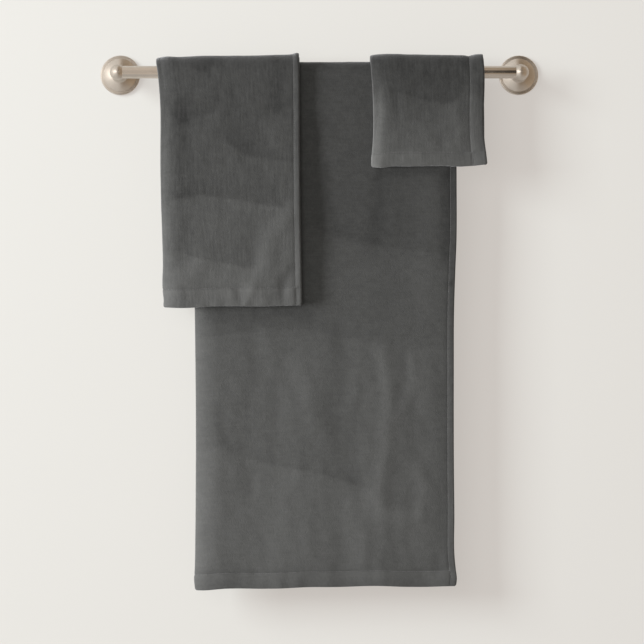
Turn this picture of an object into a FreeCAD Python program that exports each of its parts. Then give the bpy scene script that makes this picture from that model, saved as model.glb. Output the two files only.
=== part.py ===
"""Towel set hung on a wall-mounted towel bar: bath towel, hand towel and washcloth.

Frame: the origin is the middle of the four wall holes, on the wall's surface, midway between the two
posts at the height of the bar. +Z is up, +X points along the bar to the right as seen from the room,
and the wall lies at Y = 0, so every piece is at Y <= 0. Lengths are in millimetres.
"""
import FreeCAD, Part
import math
import os

import Sketcher
from FreeCAD import Placement, Rotation, Vector

doc = FreeCAD.newDocument("TowelSet")

# ---------------------------------------------------------------------------------------------
# Driving dimensions
# ---------------------------------------------------------------------------------------------

SIZES = [
    # towel bar and its sockets
    ("post_spacing", 609.6, "post centre to post centre, a 24 inch bar"),
    ("bar_standoff", 64.0, "bar axis to wall"),
    ("bar_radius", 9.525, "3/4 inch tube"),
    ("bar_wall", 1.2, "tube wall"),
    ("socket_play", 0.06, "radial play of the tube in its socket"),
    ("socket_past_centre", 1.0, "how far a socket runs past its post's centre line"),
    ("bar_end_gap", 0.5, "tube end to socket floor"),
    # posts
    ("head_radius", 12.0, "ball end of a post"),
    ("neck_radius", 8.0, "slimmest part of a post"),
    ("neck_sweep", 26.0, "radius of the hollow curve from foot to neck"),
    ("foot_radius", 12.5, "foot of a post on its rosette"),
    ("foot_depth", 15.0, "wall to foot of a post"),
    ("neck_depth", 34.0, "wall to where the neck turns straight"),
    # rosettes
    ("rosette_radius", 30.0, "outer radius of the rim"),
    ("rim_depth", 6.0, "height of the rim off the wall"),
    ("rim_width", 2.6, "flat of the rim"),
    ("rim_step", 0.8, "step between rim and ledge"),
    ("ledge_width", 2.2, "ledge between rim and dome"),
    ("dome_step", 1.1, "step between ledge and dome"),
    ("rim_round", 1.2, "rounding of the rim's outer edge"),
    ("dome_radius", 40.0, "curve of the dome"),
    ("rosette_shell", 3.0, "metal under the foot of the post"),
    ("collar_slip", 0.3, "play between bracket collar and rosette"),
    ("roof_drop", 4.5, "slope of the rosette's inner roof"),
    # wall brackets
    ("collar_radius", 23.0, "outer radius of the bracket's collar"),
    ("collar_wall", 3.0, "wall of the collar"),
    ("collar_depth", 6.5, "height of the collar off the wall"),
    ("bracket_plate", 2.5, "thickness of the bracket's plate"),
    ("wall_hole_radius", 2.5, "screw holes in the bracket"),
    ("wall_hole_spacing", 30.0, "the two holes of a bracket, one above the other"),
    # screws
    ("set_screw_radius", 2.0, "M4 set screw"),
    ("set_screw_depth", 4.0, "set screw axis to wall"),
    ("set_screw_span", 6.2, "length of the set screw"),
    ("key_radius", 1.15, "hexagon socket of the set screw, across corners"),
    ("key_depth", 2.4, "depth of that socket"),
    ("post_screw_radius", 2.5, "M5 screw holding a post to its rosette"),
    ("post_screw_reach", 12.0, "thread in the post"),
    ("post_screw_head", 4.6, "radius of its head"),
    ("post_screw_cap", 2.6, "height of its head"),
    ("driver_slot", 1.0, "slot in that head"),
    ("thread_play", 0.04, "gap drawn between a screw and its hole"),
    # cloth
    ("bar_to_cloth", 0.4, "clearance of the bath towel round the bar"),
    ("bath_thick", 5.6, "two layers of the bath towel"),
    ("over_to_bath", 0.8, "clearance of the upper towels round the bath towel"),
    ("upper_thick", 6.2, "two layers of the hand towel or washcloth"),
    ("hem_swell", 0.4, "how much a hem stands proud of the cloth"),
    ("thread_width", 0.8, "sewing thread across the seam"),
    ("thread_rise", 0.3, "sewing thread off the cloth"),
    ("fold_round", 2.4, "rounding of the lengthwise fold"),
    ("edge_round", 1.6, "rounding of a hemmed edge"),
    # bath towel
    ("bath_left", -187.0, "lengthwise fold"),
    ("bath_right", 204.0, "hemmed long edges"),
    ("bath_front", 778.0, "front end below the bar axis"),
    ("bath_back", 704.0, "back end below the bar axis"),
    ("bath_end_hem", 23.0, "depth of an end hem"),
    ("bath_side_hem", 9.0, "width of the side hem"),
    # hand towel
    ("hand_left", -241.0, "lengthwise fold"),
    ("hand_right", -29.0, "hemmed long edges"),
    ("hand_front", 355.0, "front end below the bar axis"),
    ("hand_back", 346.0, "back end below the bar axis"),
    ("hand_end_hem", 27.0, "depth of an end hem"),
    ("hand_side_hem", 8.0, "width of the side hem"),
    # washcloth
    ("wash_left", 80.0, "lengthwise fold"),
    ("wash_right", 249.0, "hemmed long edges"),
    ("wash_front", 143.0, "front end below the bar axis"),
    ("wash_back", 124.0, "back end below the bar axis"),
    ("wash_end_hem", 20.0, "depth of an end hem"),
    ("wash_side_hem", 20.0, "width of the side hem"),
]

sheet = doc.addObject("Spreadsheet::Sheet", "Sizes")
for row, (alias, value, meaning) in enumerate(SIZES, start=1):
    sheet.set(f"A{row}", str(value))
    sheet.setAlias(f"A{row}", alias)
    sheet.set(f"B{row}", meaning)
doc.recompute()


class Size:
    """A length that knows both its value and the spreadsheet expression that gives it."""

    def __init__(self, value, text):
        self.value = float(value)
        self.text = text

    def __add__(self, other):
        other = as_size(other)
        return Size(self.value + other.value, f"({self.text} + {other.text})")

    def __sub__(self, other):
        other = as_size(other)
        return Size(self.value - other.value, f"({self.text} - {other.text})")

    def __mul__(self, factor):
        return Size(self.value * factor, f"({self.text} * {factor})")

    def __neg__(self):
        return Size(-self.value, f"(0 - {self.text})")


def as_size(number):
    """A plain number as a Size, so that both can be added up."""
    return number if isinstance(number, Size) else Size(number, f"({float(number)})")


def size(alias):
    """The named cell of the spreadsheet."""
    return Size(sheet.get(alias), f"Sizes.{alias}")


def leg(long_side, short_side):
    """The other leg of a right triangle: the square root of long squared less short squared."""
    value = math.sqrt(long_side.value**2 - short_side.value**2)
    return Size(value, f"sqrt({long_side.text}^2 - {short_side.text}^2)")


ZERO = as_size(0)

# ---------------------------------------------------------------------------------------------
# Sketch and feature helpers
# ---------------------------------------------------------------------------------------------

X_AXIS, Y_AXIS, ORIGIN = -1, -2, (-1, 1)
START, END = 1, 2
pieces = []


def new_body(label):
    """A sub-part: a body whose label is the name of its node."""
    body = doc.addObject("PartDesign::Body", label)
    body.Label = label
    pieces.append(body)
    return body


def plane(body, role):
    """One of a body's own origin planes."""
    for feature in body.Origin.OriginFeatures:
        if feature.Role == role:
            return feature
    raise ValueError(f"no {role} in {body.Label}")


def new_sketch(body, role, name, lift=ZERO):
    """A sketch on an origin plane, moved along the plane's normal by lift."""
    sketch = body.newObject("Sketcher::SketchObject", f"{body.Name}_{name}")
    sketch.AttachmentSupport = [(plane(body, role), "")]
    sketch.MapMode = "FlatFace"
    if lift is not ZERO:
        sketch.setExpression("AttachmentOffset.Base.z", lift.text)
    return sketch


def pin_point(sketch, geometry, end, across, up):
    """Fix one end or centre in a sketch at the sizes across and up."""
    for kind, axis, wanted in (("DistanceX", Y_AXIS, across), ("DistanceY", X_AXIS, up)):
        if wanted.value == 0:
            sketch.addConstraint(Sketcher.Constraint("PointOnObject", geometry, end, axis))
            continue
        number = sketch.addConstraint(Sketcher.Constraint(kind, *ORIGIN, geometry, end, wanted.value))
        sketch.setExpression(f"Constraints[{number}]", wanted.text)


def draw_outline(sketch, start, *steps):
    """A closed outline: each step is the next corner, or corner, radius and turn for an arc.

    The turn is +1 where the arc runs anticlockwise and -1 where it runs clockwise.
    """
    here = start
    first = len(sketch.Geometry)
    for step in steps:
        there = step[:2]
        a = Vector(here[0].value, here[1].value, 0)
        b = Vector(there[0].value, there[1].value, 0)
        if len(step) == 2:
            sketch.addGeometry(Part.LineSegment(a, b), False)
        else:
            radius, turn = step[2:]
            chord = b - a
            side = Vector(-chord.y, chord.x, 0).normalize() * turn
            centre = (a + b) * 0.5 + side * math.sqrt(max(radius.value**2 - chord.Length**2 / 4, 0))
            circle = Part.Circle(centre, Vector(0, 0, 1), radius.value)
            low, high = (a, b) if turn > 0 else (b, a)
            arc = Part.ArcOfCircle(circle, angle(centre, low), angle(centre, high))
            sketch.addGeometry(arc, False)
        here = there
    here = start
    total = len(steps)
    ends = [(END, START) if len(step) == 4 and step[3] < 0 else (START, END) for step in steps]
    for number, step in enumerate(steps):
        geometry = first + number
        follower = first + (number + 1) % total
        next_start = ends[(number + 1) % total][0]
        last_end = ends[number][1]
        sketch.addConstraint(Sketcher.Constraint("Coincident", geometry, last_end, follower, next_start))
        pin_point(sketch, geometry, ends[number][0], *here)
        if len(step) == 4:
            size_arc(sketch, geometry, here, step)
        here = step[:2]


def size_arc(sketch, geometry, here, step):
    """Fix the last freedom of an arc: its radius, or the height of its centre if it is half a circle."""
    there, radius = step[:2], step[2]
    width = abs(there[0].value - here[0].value)
    if abs(width - 2 * radius.value) < 1e-6:
        sketch.addConstraint(Sketcher.Constraint("Horizontal", geometry, 3, geometry, START))
        return
    count = sketch.addConstraint(Sketcher.Constraint("Radius", geometry, radius.value))
    sketch.setExpression(f"Constraints[{count}]", radius.text)


def angle(centre, point):
    """The angle of a point seen from a centre, in radians."""
    return math.atan2(point.y - centre.y, point.x - centre.x)


def draw_circle(sketch, radius, across=ZERO, up=ZERO):
    """A circle in a sketch."""
    circle = Part.Circle(Vector(across.value, up.value, 0), Vector(0, 0, 1), radius.value)
    geometry = sketch.addGeometry(circle, False)
    pin_point(sketch, geometry, 3, across, up)
    count = sketch.addConstraint(Sketcher.Constraint("Radius", geometry, radius.value))
    sketch.setExpression(f"Constraints[{count}]", radius.text)


def turn_solid(body, sketch):
    """Revolve a sketch about its upright axis."""
    feature = body.newObject("PartDesign::Revolution", f"{body.Name}_turned")
    feature.Profile = sketch
    feature.ReferenceAxis = (sketch, ["V_Axis"])
    feature.Angle = 360
    sketch.Visibility = False
    return feature


def pad(body, sketch, length, midplane=False):
    """Raise a sketch along its plane's normal."""
    feature = body.newObject("PartDesign::Pad", f"{body.Name}_pad")
    feature.Profile = sketch
    feature.Midplane = midplane
    feature.setExpression("Length", length.text)
    return feature


def pocket(body, sketch, length, reverse=False):
    """Cut a sketch into a body, and see that metal went."""
    doc.recompute()
    before = body.Shape.Volume
    feature = body.newObject("PartDesign::Pocket", f"{body.Name}_pocket")
    feature.Profile = sketch
    feature.Reversed = reverse
    feature.setExpression("Length", length.text)
    doc.recompute()
    if not body.Shape.Volume < before - 0.01:
        raise ValueError(f"the pocket {feature.Name} cut nothing")
    return feature


def round_edges(body, radius, chosen):
    """Fillet the edges of a body's last feature that chosen() picks."""
    doc.recompute()
    base = body.Tip
    names = [f"Edge{i}" for i, edge in enumerate(base.Shape.Edges, start=1) if chosen(edge)]
    if not names:
        raise ValueError(f"no edge to round on {body.Label}")
    feature = body.newObject("PartDesign::Fillet", f"{body.Name}_round")
    feature.Base = (base, names)
    feature.setExpression("Radius", radius.text)
    return feature


def stand_at(body, across, depth=ZERO, up=ZERO, rotation=None):
    """Place a body, its position bound to the spreadsheet."""
    if rotation is not None:
        body.Placement = Placement(Vector(), rotation)
    body.setExpression("Placement.Base.x", across.text)
    body.setExpression("Placement.Base.y", depth.text)
    body.setExpression("Placement.Base.z", up.text)


# ---------------------------------------------------------------------------------------------
# The bar and what holds it
# ---------------------------------------------------------------------------------------------

half_spacing = size("post_spacing") * 0.5
SIDES = (("left", -half_spacing, 0), ("right", half_spacing, 180))


def wall_bracket(label, across):
    """A steel cup screwed to the wall: a plate with two holes inside a collar."""
    body = new_body(label)
    outer = size("collar_radius")
    inner = outer - size("collar_wall")
    plate = -size("bracket_plate")
    top = -size("collar_depth")
    profile = new_sketch(body, "XY_Plane", "profile")
    corners = ((outer, ZERO), (outer, top), (inner, top), (inner, plate), (ZERO, plate), (ZERO, ZERO))
    draw_outline(profile, (ZERO, ZERO), *corners)
    turn_solid(body, profile)
    holes = new_sketch(body, "XZ_Plane", "holes")
    half = size("wall_hole_spacing") * 0.5
    for up in (half, -half):
        draw_circle(holes, size("wall_hole_radius"), ZERO, up)
    pocket(body, holes, size("bracket_plate") * 2, reverse=pocket_towards_room(body))
    stand_at(body, across)


def pocket_towards_room(body):
    """Whether a pocket on the XZ plane has to be reversed to cut towards -Y."""
    normal = plane(body, "XZ_Plane").Placement.Rotation.multVec(Vector(0, 0, 1))
    return normal.y < 0


def rosette(label, across):
    """The round cover over a wall bracket: two steps, low dome, hollow behind."""
    body = new_body(label)
    rim = size("rosette_radius")
    step_at = rim - size("rim_width")
    rim_top = -size("rim_depth")
    ledge = rim_top - size("rim_step")
    dome_edge = step_at - size("ledge_width")
    dome_foot = ledge - size("dome_step")
    foot = size("foot_radius")
    front = -size("foot_depth")
    cavity = size("collar_radius") + size("collar_slip")
    roof = front + size("rosette_shell")
    roof_edge = roof + size("roof_drop")
    hole = size("post_screw_radius") + size("thread_play")
    roof_flat = size("foot_radius") - 1
    profile = new_sketch(body, "XY_Plane", "profile")
    draw_outline(
        profile,
        (cavity, ZERO),
        (rim, ZERO),
        (rim, rim_top),
        (step_at, rim_top),
        (step_at, ledge),
        (dome_edge, ledge),
        (dome_edge, dome_foot),
        (foot, front, size("dome_radius"), -1),
        (hole, front),
        (hole, roof),
        (roof_flat, roof),
        (cavity, roof_edge),
        (cavity, ZERO),
    )
    turn_solid(body, profile)
    round_edges(body, size("rim_round"), lambda edge: edge_circle(edge, rim.value, rim_top.value))
    hole_sketch = new_sketch(body, "XY_Plane", "set_screw_hole", -rim)
    draw_circle(hole_sketch, size("set_screw_radius") + size("thread_play"), ZERO, -size("set_screw_depth"))
    pocket(body, hole_sketch, rim - cavity + 1, reverse=True)
    stand_at(body, across)


def edge_circle(edge, radius, depth):
    """Is this edge the circle of a given radius at a given depth about the Y axis?"""
    box = edge.BoundBox
    flat = box.YLength < 1e-4 and abs(box.YMin - depth) < 1e-3
    return flat and abs(box.XMax - radius) < 1e-3 and abs(box.XMin + radius) < 1e-3


def post(label, across, turned):
    """A post: foot, hollow-curved neck and a ball end with a blind socket for the tube."""
    body = new_body(label)
    head = size("head_radius")
    neck = size("neck_radius")
    centre = -size("bar_standoff")
    foot = -size("foot_depth")
    screw_floor = foot - size("post_screw_reach") - 1
    screw_hole = size("post_screw_radius") + size("thread_play")
    profile = new_sketch(body, "XY_Plane", "profile")
    draw_outline(
        profile,
        (screw_hole, foot),
        (size("foot_radius"), foot),
        (size("foot_radius"), foot - 1.5),
        (neck, -size("neck_depth"), size("neck_sweep"), 1),
        (neck, centre + leg(head, neck)),
        (ZERO, centre - head, head, -1),
        (ZERO, screw_floor),
        (screw_hole, screw_floor),
        (screw_hole, foot),
    )
    turn_solid(body, profile)
    socket = new_sketch(body, "YZ_Plane", "socket", -size("socket_past_centre"))
    draw_circle(socket, size("bar_radius") + size("socket_play"), centre, ZERO)
    pocket(body, socket, head + size("socket_past_centre") + 1, reverse=True)
    stand_at(body, across, rotation=Rotation(Vector(0, 1, 0), turned))


def post_screw(label, across):
    """The slotted screw that draws a post onto its rosette, turned in from behind."""
    body = new_body(label)
    seat = -size("foot_depth") + size("rosette_shell")
    cap = seat + size("post_screw_cap")
    tip = -size("foot_depth") - size("post_screw_reach")
    shank = size("post_screw_radius")
    head = size("post_screw_head")
    profile = new_sketch(body, "XY_Plane", "profile")
    corners = ((shank, tip), (shank, seat), (head, seat), (head, cap), (ZERO, cap), (ZERO, tip))
    draw_outline(profile, (ZERO, tip), *corners)
    turn_solid(body, profile)
    slot = new_sketch(body, "XY_Plane", "slot", -head)
    half = size("driver_slot") * 0.5
    floor = cap - size("driver_slot")
    above = cap + 1
    draw_outline(slot, (-half, floor), (half, floor), (half, above), (-half, above), (-half, floor))
    pocket(body, slot, head * 2, reverse=True)
    stand_at(body, across)


def set_screw(label, across):
    """The grub screw in the underside of a rosette, its tip against the bracket's collar."""
    body = new_body(label)
    span = size("set_screw_span")
    profile = new_sketch(body, "XZ_Plane", "profile")
    radius = size("set_screw_radius")
    tip = radius * 0.6
    corners = ((radius, -span), (radius, -(radius * 0.4)), (tip, ZERO), (ZERO, ZERO), (ZERO, -span))
    draw_outline(profile, (ZERO, -span), *corners)
    turn_solid(body, profile)
    key = new_sketch(body, "XY_Plane", "key", -span)
    reach = size("key_radius")
    half = reach * 0.5
    flat = reach * round(math.sqrt(0.75), 6)
    corners = ((half, flat), (-half, flat), (-reach, ZERO), (-half, -flat), (half, -flat), (reach, ZERO))
    draw_outline(key, (reach, ZERO), *corners)
    pocket(body, key, size("key_depth"), reverse=True)
    stand_at(body, across, -size("set_screw_depth"), -size("collar_radius"))


def bar_tube():
    """The round tube, caught between the two blind sockets and free to turn in them."""
    body = new_body("bar_tube")
    section = new_sketch(body, "YZ_Plane", "section")
    draw_circle(section, size("bar_radius"))
    draw_circle(section, size("bar_radius") - size("bar_wall"))
    reach = half_spacing + size("socket_past_centre") - size("bar_end_gap")
    pad(body, section, reach * 2, midplane=True)
    stand_at(body, ZERO, -size("bar_standoff"))


# ---------------------------------------------------------------------------------------------
# Towels
# ---------------------------------------------------------------------------------------------


def over_bar(sketch, inner, outer, front_end, back_end):
    """A band of cloth hung over the bar, seen end-on: straight down in front and behind."""
    draw_outline(
        sketch,
        (-outer, -front_end),
        (-inner, -front_end),
        (-inner, ZERO),
        (inner, ZERO, inner, -1),
        (inner, -back_end),
        (outer, -back_end),
        (outer, ZERO),
        (-outer, ZERO, outer, 1),
        (-outer, -front_end),
    )


def band(label, left, right, inner, outer, front_end, back_end):
    """A band of cloth over the bar, from left to right along it."""
    body = new_body(label)
    section = new_sketch(body, "YZ_Plane", "section")
    over_bar(section, inner, outer, front_end, back_end)
    pad(body, section, right - left)
    stand_at(body, left, -size("bar_standoff"))
    return body


def block(label, left, right, near, far, low, high):
    """A straight strip along the bar, between two depths and two heights from the bar axis."""
    body = new_body(label)
    section = new_sketch(body, "YZ_Plane", "section")
    draw_outline(section, (near, low), (far, low), (far, high), (near, high), (near, low))
    pad(body, section, right - left)
    stand_at(body, left, -size("bar_standoff"))
    return body


def runs_down_fold(edge):
    """Does this edge run along the lengthwise fold, in the body's own X = 0 plane, not across it?"""
    box = edge.BoundBox
    flat = abs(box.XMin) < 1e-4 and abs(box.XMax) < 1e-4
    return flat and box.ZLength > 1


def runs_down_rim(edge, width):
    """Does this edge run along the far side of a band of the given width, not across it?"""
    return edge.BoundBox.XMin > width.value - 1e-4 and edge.BoundBox.ZLength > 1


def towel(name, prefix, inner, thick):
    """One towel folded in half lengthwise and hung over the bar, fold to the left."""
    left = size(f"{prefix}_left")
    right = size(f"{prefix}_right")
    front = size(f"{prefix}_front")
    back = size(f"{prefix}_back")
    end_hem = size(f"{prefix}_end_hem")
    side_hem = size(f"{prefix}_side_hem")
    outer = inner + thick
    proud = outer + size("hem_swell")
    thread = size("thread_width")
    rise = size("thread_rise")
    seam = right - side_hem

    cloth = band(f"{name}_terry", left, seam, inner, outer, front - end_hem, back - end_hem)
    round_edges(cloth, size("fold_round"), runs_down_fold)

    side = band(f"{name}_side_hem", seam, right, inner, proud, front, back)
    round_edges(side, size("edge_round"), lambda edge: runs_down_rim(edge, side_hem))

    front_hem = block(f"{name}_front_hem", left, seam, -proud, -inner, -front, -(front - end_hem))
    back_hem = block(f"{name}_back_hem", left, seam, inner, proud, -back, -(back - end_hem))
    for hem in (front_hem, back_hem):
        round_edges(hem, size("fold_round"), runs_down_fold)

    start = left + size("fold_round")
    stop = seam - thread
    low = -(front - end_hem)
    block(f"{name}_front_stitching", start, stop, -(outer + rise), -outer, low, low + thread)
    low = -(back - end_hem)
    block(f"{name}_back_stitching", start, stop, outer, outer + rise, low, low + thread)
    band(f"{name}_side_stitching", stop, seam, outer, outer + rise, front - end_hem, back - end_hem)


# ---------------------------------------------------------------------------------------------
# The whole set
# ---------------------------------------------------------------------------------------------

for side_name, side_place, side_turn in SIDES:
    wall_bracket(f"{side_name}_wall_bracket", side_place)
    rosette(f"{side_name}_rosette", side_place)
    post(f"{side_name}_post", side_place, side_turn)
    post_screw(f"{side_name}_post_screw", side_place)
    set_screw(f"{side_name}_set_screw", side_place)
bar_tube()

bath_inner = size("bar_radius") + size("bar_to_cloth")
upper_inner = bath_inner + size("bath_thick") + size("hem_swell") + size("over_to_bath")
towel("bath_towel", "bath", bath_inner, size("bath_thick"))
towel("hand_towel", "hand", upper_inner, size("upper_thick"))
towel("washcloth", "wash", upper_inner, size("upper_thick"))

doc.recompute()

for thing in doc.Objects:
    if "Invalid" in thing.State or "Error" in thing.State:
        raise RuntimeError(f"{thing.Name} did not compute: {thing.State}")
for piece in pieces:
    if piece.Shape.isNull() or not piece.Shape.isValid() or not piece.Shape.Solids:
        raise RuntimeError(f"{piece.Label} has no valid solid")

os.makedirs("parts", exist_ok=True)
for piece in pieces:
    piece.Shape.exportStep(f"parts/{piece.Label}.step")
    box = piece.Shape.optimalBoundingBox()
    spans = (("x", box.XMin, box.XMax), ("y", box.YMin, box.YMax), ("z", box.ZMin, box.ZMax))
    reach = "  ".join(f"{axis} {low:8.2f} {high:8.2f}" for axis, low, high in spans)
    print(f"{piece.Label:28s} {len(piece.Shape.Solids)} solid  {piece.Shape.Volume:12.1f} mm3  {reach}")
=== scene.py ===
"""The looks of a folded bath towel, hand towel and washcloth on a wall-mounted towel bar.

Everything is in metres, in the CAD frame: the wall is Y = 0, the room is on the -Y side, Z is up and
the bar runs along X. A towel is one sheet of terry folded in half lengthwise, fold to the left, and hung
over the bar. Its mesh is worked out from the flat cut: a row of the mesh runs across the cut, from the
edge of the outer layer round the fold to the edge of the inner layer, and a column runs along the cut,
from the front end over the bar to the back end.
"""
import math

import bpy
import numpy as np
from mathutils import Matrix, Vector


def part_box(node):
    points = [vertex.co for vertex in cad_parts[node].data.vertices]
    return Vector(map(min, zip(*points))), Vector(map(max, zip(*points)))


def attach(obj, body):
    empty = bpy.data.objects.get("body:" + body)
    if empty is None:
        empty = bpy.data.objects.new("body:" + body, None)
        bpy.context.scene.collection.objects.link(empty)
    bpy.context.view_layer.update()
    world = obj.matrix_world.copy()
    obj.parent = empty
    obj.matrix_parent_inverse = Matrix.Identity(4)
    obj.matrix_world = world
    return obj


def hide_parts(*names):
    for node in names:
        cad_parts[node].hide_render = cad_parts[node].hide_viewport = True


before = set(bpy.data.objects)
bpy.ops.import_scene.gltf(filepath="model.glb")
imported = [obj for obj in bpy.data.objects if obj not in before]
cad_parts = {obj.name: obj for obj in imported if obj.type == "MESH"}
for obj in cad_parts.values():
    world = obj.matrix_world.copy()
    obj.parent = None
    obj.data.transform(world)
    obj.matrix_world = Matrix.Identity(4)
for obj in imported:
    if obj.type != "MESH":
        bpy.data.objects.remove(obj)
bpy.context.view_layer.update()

MM = 0.001
LATTICE = 256

# ---------------------------------------------------------------------------------------------
# Small helpers
# ---------------------------------------------------------------------------------------------


def smooth(value, low, high):
    """A smooth step from 0 at low to 1 at high."""
    t = np.clip((value - low) / (high - low), 0, 1)
    return t * t * (3 - 2 * t)


def bell(value, centre, width):
    """A smooth bump of height 1 and about the given half width."""
    return np.exp(-(((value - centre) / width) ** 2))


def curve_through(points, value):
    """A smooth curve through a few (position, height) points, level at both ends."""
    at = np.array([p[0] for p in points], float)
    height = np.array([p[1] for p in points], float)
    order = np.argsort(at)
    at, height = at[order], height[order]
    slope = np.gradient(height, at)
    slope[0] = slope[-1] = 0
    value = np.clip(value, at[0], at[-1])
    i = np.clip(np.searchsorted(at, value, side="right") - 1, 0, len(at) - 2)
    span = at[i + 1] - at[i]
    t = (value - at[i]) / span
    rise = (3 - 2 * t) * t * t
    ease_in = t * (1 - t) ** 2 * span
    ease_out = t * t * (1 - t) * span
    level = height[i] * (1 - rise) + height[i + 1] * rise
    return level + slope[i] * ease_in - slope[i + 1] * ease_out


def noise(across, along, wide, tall, seed):
    """Seeded smooth noise in -1..1 whose features are about wide by tall."""
    lattice = np.random.default_rng(seed).uniform(-1, 1, (LATTICE, LATTICE))
    u, v = across / wide + LATTICE // 4, along / tall + LATTICE // 4
    i, j = np.floor(u).astype(int), np.floor(v).astype(int)
    a, b = u - i, v - j
    a, b = a * a * (3 - 2 * a), b * b * (3 - 2 * b)
    i0, i1, j0, j1 = (k % LATTICE for k in (i, i + 1, j, j + 1))
    low = lattice[i0, j0] * (1 - a) + lattice[i1, j0] * a
    high = lattice[i0, j1] * (1 - a) + lattice[i1, j1] * a
    return low * (1 - b) + high * b


# ---------------------------------------------------------------------------------------------
# Materials
# ---------------------------------------------------------------------------------------------


class Nodes:
    """The node tree of a material or a world, with short calls to add to it.

    Where a call takes a number or a socket, either will do.
    """

    def __init__(self, owner, shader="Principled BSDF"):
        owner.use_nodes = True
        self.tree = owner.node_tree
        self.shader = self.tree.nodes[shader]

    def add(self, kind, **settings):
        node = self.tree.nodes.new(kind)
        for key, value in settings.items():
            setattr(node, key, value)
        return node

    def link(self, source, target):
        self.tree.links.new(source, target)

    def feed(self, given, socket):
        """Set a socket to a number or colour, or link another socket to it."""
        if isinstance(given, (int, float)):
            socket.default_value = given
        elif isinstance(given, tuple):
            socket.default_value = (*given, 1)
        else:
            self.link(given, socket)

    def set_shader(self, **values):
        """Set numbers and colours that are the same all over, with _ for a space in the socket's name."""
        for name, value in values.items():
            self.feed(value, self.shader.inputs[name.replace("_", " ")])

    def math(self, operation, *given):
        node = self.add("ShaderNodeMath", operation=operation)
        for value, socket in zip(given, node.inputs):
            self.feed(value, socket)
        return node.outputs[0]

    def total(self, first, *others):
        for other in others:
            first = self.math("ADD", first, other)
        return first

    def product(self, first, *others):
        for other in others:
            first = self.math("MULTIPLY", first, other)
        return first

    def rest_of(self, share):
        """What is left of 1."""
        return self.math("SUBTRACT", 1.0, share)

    def mix_colour(self, share, first, second, blend="MIX"):
        node = self.add("ShaderNodeMix", data_type="RGBA", blend_type=blend)
        for value, socket in ((share, node.inputs[0]), (first, node.inputs[6]), (second, node.inputs[7])):
            self.feed(value, socket)
        return node.outputs[2]

    def attribute(self, name, output="Fac"):
        return self.add("ShaderNodeAttribute", attribute_name=name).outputs[output]

    def scaled(self, where, scale):
        """Coordinates, scaled along each axis."""
        mapping = self.add("ShaderNodeMapping")
        mapping.inputs["Scale"].default_value = scale
        self.link(where, mapping.inputs["Vector"])
        return mapping.outputs["Vector"]

    def object_place(self, scale):
        """Object coordinates, scaled."""
        return self.scaled(self.add("ShaderNodeTexCoord").outputs["Object"], scale)

    def noise(self, where, scale, detail=2.0, roughness=0.5):
        node = self.add("ShaderNodeTexNoise")
        self.link(where, node.inputs["Vector"])
        node.inputs["Scale"].default_value = scale
        node.inputs["Detail"].default_value = detail
        node.inputs["Roughness"].default_value = roughness
        return node.outputs["Fac"]

    def range(self, value, low, high, to_low, to_high):
        """Carry low..high over to to_low..to_high, and keep to those limits."""
        node = self.add("ShaderNodeMapRange")
        self.link(value, node.inputs["Value"])
        for socket, given in zip(node.inputs[1:5], (low, high, to_low, to_high)):
            socket.default_value = given
        return node.outputs[0]

    def vary(self, noise, down, up):
        """Noise as a change between down and up."""
        return self.range(noise, 0.3, 0.7, down, up)

    def near(self, value, centre, full, gone, height=1.0):
        """height within full of the centre, falling to 0 at gone."""
        distance = self.math("ABSOLUTE", self.math("SUBTRACT", value, centre))
        return self.range(distance, full, gone, height, 0.0)

    def bump(self, height, distance, strength):
        node = self.add("ShaderNodeBump")
        node.inputs["Strength"].default_value = strength
        node.inputs["Distance"].default_value = distance
        self.link(height, node.inputs["Height"])
        self.link(node.outputs["Normal"], self.shader.inputs["Normal"])


def satin_nickel(name, colour, roughness, grain, turned=0.0):
    """Satin-plated metal: fine brushed grain, faint cloudiness and a slightly uneven gloss.

    A part turned on a lathe about Y spreads its highlights along the tool marks, by the share turned.
    """
    material = bpy.data.materials.new(name)
    n = Nodes(material)
    n.set_shader(Metallic=1)
    brushed = n.noise(n.object_place(grain), 1.0, 3.0, 0.6)
    cloud = n.noise(n.object_place((CLOUDS_PER_METRE,) * 3), 1.0)
    dark = tuple(c * CLOUD_SHADE for c in colour)
    n.link(n.mix_colour(n.vary(cloud, 0.0, 1.0), dark, colour), n.shader.inputs["Base Color"])
    uneven = n.total(n.range(brushed, 0.2, 0.8, -0.05, 0.05), n.vary(cloud, -0.02, 0.03), roughness)
    n.link(uneven, n.shader.inputs["Roughness"])
    n.bump(brushed, GRAIN_DEPTH, 0.35)
    if turned:
        marks = n.add("ShaderNodeTangent", direction_type="RADIAL", axis="Y")
        n.set_shader(Anisotropic=turned, Anisotropic_Rotation=0.25)
        n.link(marks.outputs["Tangent"], n.shader.inputs["Tangent"])
    return material


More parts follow.
